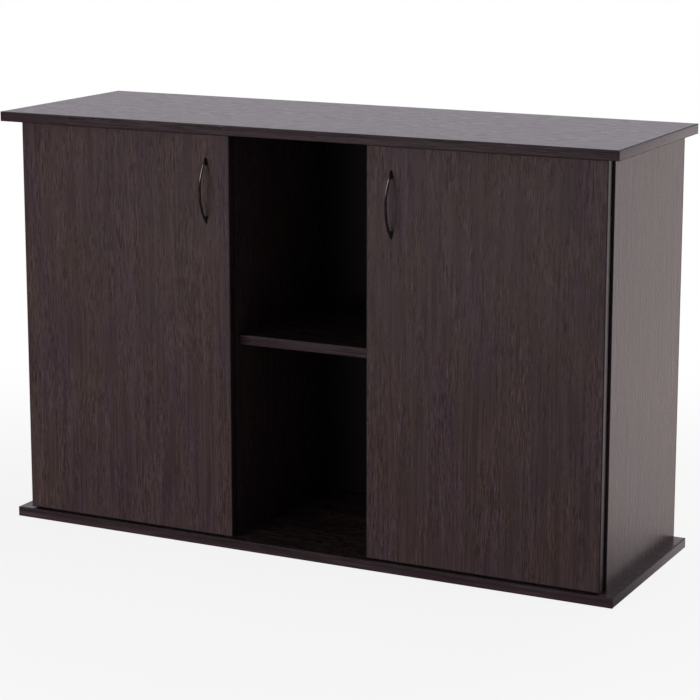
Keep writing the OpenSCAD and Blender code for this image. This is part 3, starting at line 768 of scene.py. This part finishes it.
def hinge_cup():
    """A cup that stands on its floor at the origin, with its mouth up and its wings along Y."""
    rim, inner_r = cup_depth, CUP_R - SHEET
    cup = turned(((CUP_R - 0.0015, 0.0), (CUP_R - 0.0004, 0.0004), (CUP_R, 0.0015), (CUP_R, rim - CUP_FLANGE),
                  (CUP_FLANGE_R - 0.0002, rim - CUP_FLANGE), (CUP_FLANGE_R, rim - CUP_FLANGE + 0.0002),
                  (CUP_FLANGE_R, rim - 0.0004), (CUP_FLANGE_R - 0.0004, rim)), 64)
    wings = round_ended(((CUP_WING_R, rim - CUP_FLANGE), (CUP_WING_R, rim - 0.0003),
                         (CUP_WING_R - 0.0003, rim)), 1, CUP_WING_REACH)
    cup = cut(cup, laid(wings, shifted(-CUP_WING_BACK, 0, 0)), "UNION")
    cup = cut(cup, turned(((inner_r - 0.0015, SHEET), (inner_r - 0.0004, SHEET + 0.0004),
                           (inner_r, SHEET + 0.0015), (inner_r, rim - 0.0008), (inner_r + 0.0002, rim - 0.0003),
                           (inner_r + 0.0008, rim), (inner_r + 0.0008, rim + OVERCUT)), 64))
    pin_out, pin_up = pin_x - cup_x, pin_y - cup_floor
    for side in (-1, 1):
        near, far = side * (NECK_W / 2 + NECK_ROOM), side * CUP_R
        lug = block((pin_out - CUP_LUG_BACK, min(near, far), SHEET * 0.7), (CUP_R, max(near, far), CUP_LUG_TOP))
        lug = cut(lug, turned(((CUP_R - SHEET / 2, 0.0), (CUP_R - SHEET / 2, rim)), 64), "INTERSECT")
        cup = cut(cup, lug, "UNION")
    cup = bored(cup, pin_r, -CUP_R, CUP_R, shifted(pin_out, 0, pin_up) @ spun(90, "X"))
    for side in (-1, 1):
        cup = bored(cup, SMALL_SCREW_R, 0.0, rim + OVERCUT, shifted(-CUP_WING_BACK, side * CUP_WING_REACH, 0))
    return coated(cup, nickel_plate)


def four_hinges(model, part, body, place=Matrix()):
    """Puts a copy of a right-hand part at each hinge, on a body or else on the door. It is alike above and
    below its middle, so half a turn about Y makes it left-handed."""
    set_out(model, "nickel_plated_steel", *(
        (f"{side}_{level}_{part}", body or side + "_door", f"{side}_{level}_hinge_{part}",
         [shifted(0, 0, height) @ spun(degrees, "Y") @ place])
        for side, degrees in (("left", 180), ("right", 0)) for level, height in levels))


# A side's sign in X
SIGN = {"left": -1, "right": 1}


def on_doors(model, slot, name, node, spots):
    """Sets a model out on both doors, at spots that are a function of the side."""
    set_out(model, slot, *((side + name, side + "_door", side + node, spots(side)) for side in SIGN))


four_hinges(hinge_cup(), "cup", None, shifted(cup_x, cup_floor, 0) @ spun(-90, "X"))

pin = turned(((pin_r - 0.0003, -pin_half), (pin_r, 0.0003 - pin_half), (pin_r, pin_half - 0.0003),
              (pin_r - 0.0003, pin_half)), 24)
on_doors(coated(pin, nickel_plate), "nickel_plated_steel", "_pins", "_hinge_pins",
         lambda side: [shifted(SIGN[side] * pin_x, pin_y, height) for _, height in levels])


# Hinge plates
# Die-cast plates, nickel plated. Each is held to the side panel by two countersunk screws, 37 mm behind the
# panel's front edge, and its raised middle is tapped for the arm's two screws.

PLATE_LINE = 0.037
PLATE_WING = 0.002
PLATE_WING_R = 0.006
PLATE_REACH = 0.016
PLATE_PAD_HALF = 0.006
PLATE_PAD_ROUND = 0.0008
PLATE_FLOOR = 0.002
ARM_SCREW_R = 0.002
ARM_SCREW_INSET = 0.010
SMALL_HEAD_R = 0.0034

low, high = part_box("right_upper_hinge_plate")
panel_face, pad_face = high.x, low.x
pad_front, pad_back = low.y, high.y
wing_face = panel_face - PLATE_WING
arm_screw_ys = (pad_front + ARM_SCREW_INSET, pad_back - ARM_SCREW_INSET)
side_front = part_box("right_side_panel_edging")[0].y
plate_y = side_front + PLATE_LINE
# Turned shapes that run out to the right, into the panel
to_right = spun(90, "Y")


def hinge_plate():
    """The right-hand plate, with its middle at height 0."""
    plate = block((pad_face, pad_front, -PLATE_PAD_HALF), (panel_face, pad_back, PLATE_PAD_HALF))
    mode("EDIT")
    # Casting leaves the raised middle's corners and arrises round
    pick("edges", lambda edge: all(corner.co.x < wing_face for corner in edge.verts))
    bpy.ops.mesh.bevel(offset=PLATE_PAD_ROUND, segments=3)
    mode("OBJECT")
    wing = round_ended(((PLATE_WING_R - 0.0003, 0.0), (PLATE_WING_R, 0.0003), (PLATE_WING_R, PLATE_WING)),
                       0, PLATE_REACH)
    plate = cut(plate, laid(wing, shifted(wing_face, plate_y, 0) @ to_right), "UNION")
    for side in (-1, 1):
        sink = turned(((SMALL_HEAD_R + 0.0005 + HOLE_ROOM, -0.0005), (SMALL_HEAD_R + HOLE_ROOM, 0.0),
                       (SMALL_SCREW_R + HOLE_ROOM, PLATE_WING), (SMALL_SCREW_R + HOLE_ROOM, 0.004)), 24)
        plate = cut(plate, laid(sink, shifted(wing_face, plate_y, side * PLATE_REACH) @ to_right))
    for y in arm_screw_ys:
        plate = bored(plate, ARM_SCREW_R, -OVERCUT, panel_face - PLATE_FLOOR + HOLE_ROOM - pad_face,
                      shifted(pad_face, y, 0) @ to_right)
    return coated(plate, nickel_plate)


four_hinges(hinge_plate(), "plate", "cabinet")


# Hinge arms
# Pressed from 1.2 mm nickel-plated steel. The neck is curled round the pin, turns out of the cup in one
# bend and widens into a channel that is screwed down on the plate.

ARM_W = 0.015
ARM_ROUND = 0.0009
ARM_START = 0.003
BEND_R = 0.003
BEND_STEPS = 8
EYE_R = 0.002
PRESSED_EDGE = 0.0002

arm_front = side_front + ARM_START
web_x = pad_face - SHEET / 2
flange_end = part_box("right_upper_hinge_arm")[1].y
flange_tip = wing_face - NECK_ROOM


def hinge_arm():
    """The right-hand arm, with its middle at height 0."""
    arm = block((pad_face - SHEET, arm_front, -ARM_W / 2), (pad_face, flange_end, ARM_W / 2))
    mode("EDIT")
    # The channel's two sides are drawn out of strips along the web's long edges
    for side in (-1, 1):
        pick_all()
        bpy.ops.mesh.bisect(plane_co=(0, 0, side * (ARM_W / 2 - SHEET)), plane_no=(0, 0, 1), threshold=NEAR)
    pick("faces", lambda face: on_plane(face, 0, pad_face)
         and abs(face.calc_center_median().z) > ARM_W / 2 - SHEET)
    draw_out(flange_tip - pad_face, 0, 0)
    # The press leaves the channel's outer arrises round
    pick("edges", lambda edge: on_plane(edge, 0, pad_face - SHEET) and edge.calc_length() > ARM_W
         and abs(abs(edge.verts[0].co.z) - ARM_W / 2) < NEAR)
    bpy.ops.mesh.bevel(offset=ARM_ROUND, segments=3)
    mode("OBJECT")

    # The neck starts at the pin as a strip, is spun round its bend and runs on into the web
    neck = laid(new_shape(bpy.ops.mesh.primitive_plane_add, size=1), shifted(pin_x, pin_y, 0) @
                spun(-90, "Y") @ Matrix.Diagonal((NECK_W - 0.0002, SHEET, 1, 1)))
    bend = (web_x + BEND_R, pin_y + BEND_R, 0)
    mode("EDIT")
    bpy.ops.mesh.select_mode(type="FACE")
    pick_all()
    draw_out(bend[0] - pin_x, 0, 0)
    bpy.ops.mesh.spin(steps=BEND_STEPS, angle=math.radians(90), center=bend, axis=(0, 0, 1))
    draw_out(0, arm_front + SHEET - bend[1], 0)
    close_seams()
    mode("OBJECT")
    arm = cut(arm, neck, "UNION")
    eye = turned(((EYE_R, -NECK_W / 2), (EYE_R, NECK_W / 2)), 32)
    arm = cut(arm, laid(eye, shifted(pin_x, pin_y, 0)), "UNION")
    arm = bored(arm, pin_r, -NECK_W, NECK_W, shifted(pin_x, pin_y, 0))
    for y in arm_screw_ys:
        arm = bored(arm, ARM_SCREW_R, -2 * OVERCUT, OVERCUT, shifted(pad_face, y, 0) @ to_right)
    modify(arm, "BEVEL", width=PRESSED_EDGE, segments=2, angle_limit=math.radians(40))
    return coated(arm, nickel_plate)


four_hinges(hinge_arm(), "arm", "cabinet")


# Hinge screws
# Cross-recessed steel screws: chipboard screws through the cups' wings and the plates, and machine screws
# that hold the arms down.

CUP_HEAD_H = 0.001
ARM_HEAD_H = 0.002
SMALL_SCREW_IN = 0.012
SCREW_POINT = 0.002
SCREW_POINT_R = 0.0004
CROSS_REACH = 0.0021
CROSS_HALF = 0.0005
CROSS_DEPTH = 0.0009
# Core radius and pitch of a chipboard screw and of a machine screw
CHIPBOARD_THREAD = (0.0012, 0.0014)
MACHINE_THREAD = (0.0016, 0.0007)
PAN_HEAD = ((0.0026, 0.0), (0.0032, 0.0003), (SMALL_HEAD_R, 0.0007), (SMALL_HEAD_R, CUP_HEAD_H),
            (SMALL_SCREW_R, CUP_HEAD_H), (SMALL_SCREW_R, CUP_HEAD_H + CUP_FLANGE))
SUNK_HEAD = ((SMALL_HEAD_R, 0.0), (SMALL_SCREW_R, PLATE_WING))
FLAT_HEAD = ((0.0026, 0.0), (0.0031, 0.0003), (SMALL_HEAD_R, 0.0009), (SMALL_HEAD_R, ARM_HEAD_H),
             (ARM_SCREW_R, ARM_HEAD_H), (ARM_SCREW_R, ARM_HEAD_H + SHEET))


def cross_screw(head, crest_r, core_and_pitch, length, metal):
    """A screw with its head's face on the origin, that points up to its length."""
    (core_r, pitch), tip = core_and_pitch, length - SCREW_POINT
    screw = turned(head + ((core_r, head[-1][1] + 0.0003), (core_r, tip), (SCREW_POINT_R, length)), 24)
    for reach, across in ((CROSS_REACH, CROSS_HALF), (CROSS_HALF, CROSS_REACH)):
        screw = cut(screw, block((-reach, -across, -OVERCUT), (reach, across, CROSS_DEPTH)))
    ridge = thread(core_r, crest_r, pitch, head[-1][1] + 0.0005, tip)
    return coated(join([screw, ridge], "screw"), metal)


screw = cross_screw(PAN_HEAD, SMALL_SCREW_R, CHIPBOARD_THREAD, CUP_HEAD_H + CUP_FLANGE + SMALL_SCREW_IN,
                    nickel_plate)
head_y = cup_floor + cup_depth + CUP_HEAD_H
on_doors(screw, "nickel_plated_steel", "_cup_screws", "_hinge_cup_screws", lambda side: [
    shifted(SIGN[side] * (cup_x - CUP_WING_BACK), head_y, height + dz) @ spun(90, "X")
    for _, height in levels for dz in (-CUP_WING_REACH, CUP_WING_REACH)])

screw = cross_screw(SUNK_HEAD, SMALL_SCREW_R, CHIPBOARD_THREAD, PLATE_WING + SMALL_SCREW_IN, zinc_plate)
spots = [shifted(sign * wing_face, plate_y, height + dz) @ spun(90 * sign, "Y")
         for sign in SIGN.values() for _, height in levels for dz in (-PLATE_REACH, PLATE_REACH)]
set_out(screw, "zinc_plated_steel", ("plate_screws", "cabinet", "hinge_plate_screws", spots))

screw = cross_screw(FLAT_HEAD, ARM_SCREW_R, MACHINE_THREAD,
                    panel_face - PLATE_FLOOR - pad_face + SHEET + ARM_HEAD_H, zinc_plate)
spots = [shifted(sign * (pad_face - SHEET - ARM_HEAD_H), y, height) @ spun(90 * sign, "Y")
         for sign in SIGN.values() for _, height in levels for y in arm_screw_ys]
set_out(screw, "zinc_plated_steel", ("arm_screws", "cabinet", "hinge_arm_screws", spots))


# Handles
# Bows of die-cast zinc in a dark bronze plating, polished so that the bar mirrors the lights. Two feet are
# tapped for screws from inside the door, and the bow's ends run down flat to the door's face.

BAR_W = 0.0045
BAR_T = 0.0035
FOOT_R = 0.0035
FOOT_TOP_R = 0.0030
FOOT_SPREAD = 0.048
BOW_RISE = 0.02225
BOW_HALF = 0.057
BOW_OVERRUN = math.radians(6)
BOW_STEPS = 72
CAST_VOXEL = 0.00035
TAP_POINT = 0.0006
TAP_POINT_R = 0.001
HANDLE_SCREW_R = 0.0020
HANDLE_HEAD_H = 0.0022
TRUSS_HEAD = ((0.0022, 0.0), (0.0031, 0.0004), (0.0038, 0.0012), (0.0040, 0.0019), (0.0040, HANDLE_HEAD_H),
              (HANDLE_SCREW_R, HANDLE_HEAD_H), (HANDLE_SCREW_R, HANDLE_HEAD_H + 0.014))
BRONZE, BRONZE_LIGHT = linear("#2b2624", "#3a332f")
CLEAR_LACQUER_ROUGH = 0.1


def dark_bronze():
    """Thin dark plating over polished zinc, under a clear lacquer that gives the hard shine. The plating
    mottles a little, and hairlines run along the bow."""
    material, tree, place = new_material("lacquered dark bronze plating")
    mottle = figure(tree, place, cell("Z", 2.2, 9), 0.30, 0.70, 3.0)
    # Polishing lines are finer than a tenth of a millimetre, drawn at half a millimetre
    lines = figure(tree, place, cell("Z", 0.5, 14), 0.35, 0.65)
    finish_surface(tree, {"Metallic": 1.0, "Coat Weight": 1.0, "Coat Roughness": CLEAR_LACQUER_ROUGH},
                   (mottle, BRONZE, BRONZE_LIGHT), (mottle, 0.18, 0.24), (lines, 0.08, 0.00002))
    return material


def bow_handle(hole):
    """A handle on the plane Y = 0, with its middle at the origin. The two feet's holes have that depth."""
    arc_r = (BOW_HALF ** 2 + BOW_RISE ** 2) / (2 * BOW_RISE)
    centre = (0, arc_r - BOW_RISE, 0)
    half_turn = math.asin(BOW_HALF / arc_r) + BOW_OVERRUN
    # The bar's section stands at the bow's foot and is spun up along the arc
    section = round_ended(((BAR_T / 2, 0.0),), 0, (BAR_W - BAR_T) / 2)
    bow = laid(section, shifted(*centre) @ Matrix.Rotation(half_turn, 4, "X") @ shifted(0, -arc_r, 0))
    mode("EDIT")
    bpy.ops.mesh.select_mode(type="FACE")
    pick_all()
    bpy.ops.mesh.spin(steps=BOW_STEPS, angle=2 * half_turn, center=centre, axis=(1, 0, 0))
    close_seams()
    mode("OBJECT")
    for side in (-1, 1):
        # The foot reaches just into the bar
        top = math.sqrt(arc_r ** 2 - FOOT_SPREAD ** 2) - centre[1] - BAR_T / 4
        foot = turned(((FOOT_R, -0.002), (FOOT_R, 0.001), (FOOT_TOP_R, top)), 32)
        bow = cut(bow, laid(foot, shifted(0, 0, side * FOOT_SPREAD) @ spun(90, "X")), "UNION")
    # Casting leaves a small round wherever the bow and a foot meet
    modify(bow, "REMESH", mode="VOXEL", voxel_size=CAST_VOXEL)
    modify(bow, "SMOOTH", factor=0.5, iterations=6)
    mode("EDIT")
    pick_all()
    bpy.ops.mesh.bisect(plane_co=(0, 0, 0), plane_no=(0, 1, 0), use_fill=True, clear_outer=True,
                        threshold=NEAR)
    mode("OBJECT")
    tap_r = HANDLE_SCREW_R + HOLE_ROOM
    for side in (-1, 1):
        tap = turned(((tap_r, -OVERCUT), (tap_r, hole), (TAP_POINT_R, hole + TAP_POINT)), 24)
        bow = cut(bow, laid(tap, shifted(0, 0, side * FOOT_SPREAD) @ spun(90, "X")))
    return coated(bow, dark_bronze())


low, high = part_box("right_handle_screws")
door_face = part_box("right_handle")[1].y


def at_handle(side, y):
    """The middle of a side's handle, at that place in Y."""
    x, z = (middle_and_half(side + "_handle", axis)[0] for axis in (0, 2))
    return shifted(x, y, z)


on_doors(bow_handle(door_face - low.y), "dark_bronze_metal", "_bow_handle", "_handle",
         lambda side: [at_handle(side, door_face)])
on_doors(cross_screw(TRUSS_HEAD, HANDLE_SCREW_R, MACHINE_THREAD, high.y - low.y, zinc_plate),
         "zinc_plated_steel", "_handle_machine_screws", "_handle_screws", lambda side: [
             at_handle(side, high.y) @ shifted(0, 0, dz) @ spun(90, "X") for dz in (-FOOT_SPREAD, FOOT_SPREAD)])


# Door bumpers
# Clear polyurethane domes, self-adhesive. Two on the back of each door meet the divider's front edge and
# quieten the door as it shuts.

BUMPER_PROFILE = ((0.0040, 0.0), (0.0040, 0.0006), (0.0038, 0.0013), (0.0033, 0.0019), (0.0025, 0.0024),
                  (0.0014, 0.0027), (0.0004, 0.0028))
CLEAR, CLEAR_HAZE = linear("#e9e9e2", "#d6d6cc")
URETHANE_IOR = 1.49
URETHANE_CLEARNESS = 0.75


def clear_urethane():
    """Clear soft plastic. Dust and small bubbles make it a little milky in patches."""
    material, tree, place = new_material("clear polyurethane")
    haze = figure(tree, place, cell("Z", 0.8, 0.8), 0.4, 0.7)
    finish_surface(tree, {"IOR": URETHANE_IOR, "Transmission Weight": URETHANE_CLEARNESS},
                   (haze, CLEAR, CLEAR_HAZE), (haze, 0.12, 0.32))
    return material


def bumper_spots(side):
    """Where the two domes stand on the back of a side's door."""
    low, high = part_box(side + "_door_bumpers")
    x, bumper_r = (low.x + high.x) / 2, (high.x - low.x) / 2
    return [shifted(x, low.y, z) @ spun(-90, "X") for z in (low.z + bumper_r, high.z - bumper_r)]


on_doors(coated(turned(BUMPER_PROFILE), clear_urethane()), "clear_soft_plastic", "_door_domes",
         "_door_bumpers", bumper_spots)


# Studio
# A plain white floor that runs into a white background. A soft light stands low in front of the doors, weak
# ones at the right, above and behind, a tall strip at the left is mirrored only, and the camera is a little
# above the top, to the right of the middle.

PAPER_WHITE, PAPER_PALE = linear("#f6f6f6", "#ececec")
PAPER_GREY, WHITE = linear("#8c8c8c", "#ffffff")
WARM_WHITE, COOL_WHITE = linear("#fff1f0", "#f6f1fb")
# The paper starts to fade into the background at the first distance from the cabinet's middle and is gone
# at the second. Its share of background is never below the least, so that the shadow stays pale.
FADE_START, FADE_END, FADE_LEAST = 0.7, 1.7, 0.87
FLOOR_MIRRORED = 1.05
AIR_SEEN, AIR_LIGHT = 1.0, 0.12
AIR_MIRRORED_FRONT, AIR_MIRRORED_BACK = 0.15, 0.78


def ray_kinds(tree):
    """Whether a ray comes from the camera, and whether it is a reflection."""
    return (add(tree, "LightPath", {}, {}, kind) for kind in ("Is Camera Ray", "Is Glossy Ray"))


def studio_floor():
    """White paper near the cabinet, which keeps its shadow and becomes the plain background further off.
    The studio's end behind the camera is dim, so reflections see the floor there as grey."""
    material, tree, place = new_material("white paper floor")
    camera_ray, glossy_ray = ray_kinds(tree)
    far = add(tree, "VectorMath", {"operation": "LENGTH"}, {0: place}, "Value")
    far = add(tree, "MapRange", SMOOTH,
              {"Value": far, "From Min": FADE_START, "From Max": FADE_END, "To Min": FADE_LEAST}, 0)
    behind = add(tree, "SeparateXYZ", {}, {0: place}, "Y")
    behind = add(tree, "MapRange", SMOOTH, {"Value": behind, "From Min": -0.4, "From Max": 0.5}, 0)
    seen = add(tree, "Math", MULTIPLY_ADD, {0: glossy_ray, 1: behind, 2: camera_ray}, 0)
    share = add(tree, "Math", MULTIPLY, {0: far, 1: seen}, 0)
    paper = add(tree, "Mix", COLOURS, {0: camera_ray, 6: PAPER_PALE, 7: PAPER_WHITE}, 2)
    paper = add(tree, "Mix", COLOURS, {0: glossy_ray, 6: paper, 7: PAPER_GREY}, 2)
    paper = add(tree, "BsdfDiffuse", {}, {"Color": paper}, 0)
    strength = add(tree, "Mix", {}, {0: glossy_ray, 2: 1.0, 3: FLOOR_MIRRORED}, 0)
    glow = add(tree, "Mix", COLOURS, {0: glossy_ray, 6: WHITE, 7: WARM_WHITE}, 2)
    glow = add(tree, "Emission", {}, {"Color": glow, "Strength": strength}, 0)
    mixed = add(tree, "MixShader", {}, {0: share, 1: paper, 2: glow}, 0)
    add(tree, "OutputMaterial", {}, {"Surface": mixed})
    return material


floor = new_shape(bpy.ops.mesh.primitive_plane_add, size=24)
floor.name = "floor"
coated(floor, studio_floor())

# The background is plain white to the camera. Reflections see it bright behind the cabinet and dim in front.
world = bpy.data.worlds.new("white studio")
bpy.context.scene.world = world
world.use_nodes = True
tree = world.node_tree
tree.nodes.clear()
camera_ray, glossy_ray = ray_kinds(tree)
backward = add(tree, "TexCoord", {}, {}, "Generated")
backward = add(tree, "SeparateXYZ", {}, {0: backward}, "Y")
mirrored = add(tree, "MapRange", SMOOTH,
               {"Value": backward, "From Min": -0.5, "From Max": 0.2,
                "To Min": AIR_MIRRORED_FRONT, "To Max": AIR_MIRRORED_BACK}, 0)
strength = add(tree, "Mix", {}, {0: glossy_ray, 2: AIR_LIGHT, 3: mirrored}, 0)
strength = add(tree, "Mix", {}, {0: camera_ray, 2: strength, 3: AIR_SEEN}, 0)
air = add(tree, "Mix", COLOURS, {0: camera_ray, 6: COOL_WHITE, 7: WHITE}, 2)
backdrop = add(tree, "Background", {}, {"Color": air, "Strength": strength}, 0)
add(tree, "OutputWorld", {}, {"Surface": backdrop})


def softbox(name, place, aim, size, power, lit=True, mirrored=True):
    """A rectangular soft light that looks at a point. One may light without being mirrored, so that it leaves
    no haze on the doors, or be mirrored only, for the shine along the handles."""
    bpy.ops.object.light_add(type="AREA", location=place)
    light = bpy.context.object
    light.name = name
    light.visible_camera = False
    light.visible_diffuse = lit
    light.visible_glossy = mirrored
    light.data.shape = "RECTANGLE"
    light.data.size, light.data.size_y = size
    light.data.energy = power
    light.rotation_mode = "QUATERNION"
    light.rotation_quaternion = (Vector(aim) - Vector(place)).to_track_quat("-Z", "Y")


# Each light's place, the point that it looks at, its width and height in metres and its watts
softbox("front_light", (-1.1, -3.6, 0.3), (0.15, -0.1, 0.35), (1.8, 0.5), 84, mirrored=False)
softbox("left_light", (-1.7, -2.5, 2.5), (0, -0.2, 0.65), (0.6, 2.2), 40, lit=False)
softbox("side_light", (3.6, 0.5, 1.0), (0.5, 0, 0.4), (1.0, 1.2), 16)
softbox("back_light", (0.6, 3.6, 0.9), (0, 0.2, 0.4), (1.8, 0.8), 60, mirrored=False)
softbox("top_light", (0.2, 0.4, 3.4), (0, 0, 0.7), (2.4, 1.6), 25)

# The camera was fitted to the cabinet's edges in the photograph, with a smaller lens shift that keeps the
# cabinet in every view
CAMERA_PLACE = (1.838, -3.610, 1.255)
CAMERA_TILT, CAMERA_TURN = math.radians(79.13), math.radians(26.77)

bpy.ops.object.camera_add(location=CAMERA_PLACE, rotation=(CAMERA_TILT, 0, CAMERA_TURN))
camera = bpy.context.object
camera.data.sensor_width = 36
camera.data.lens = 116.8
camera.data.shift_y = -0.1
bpy.context.scene.camera = camera
bpy.context.scene.view_settings.view_transform = "Standard"
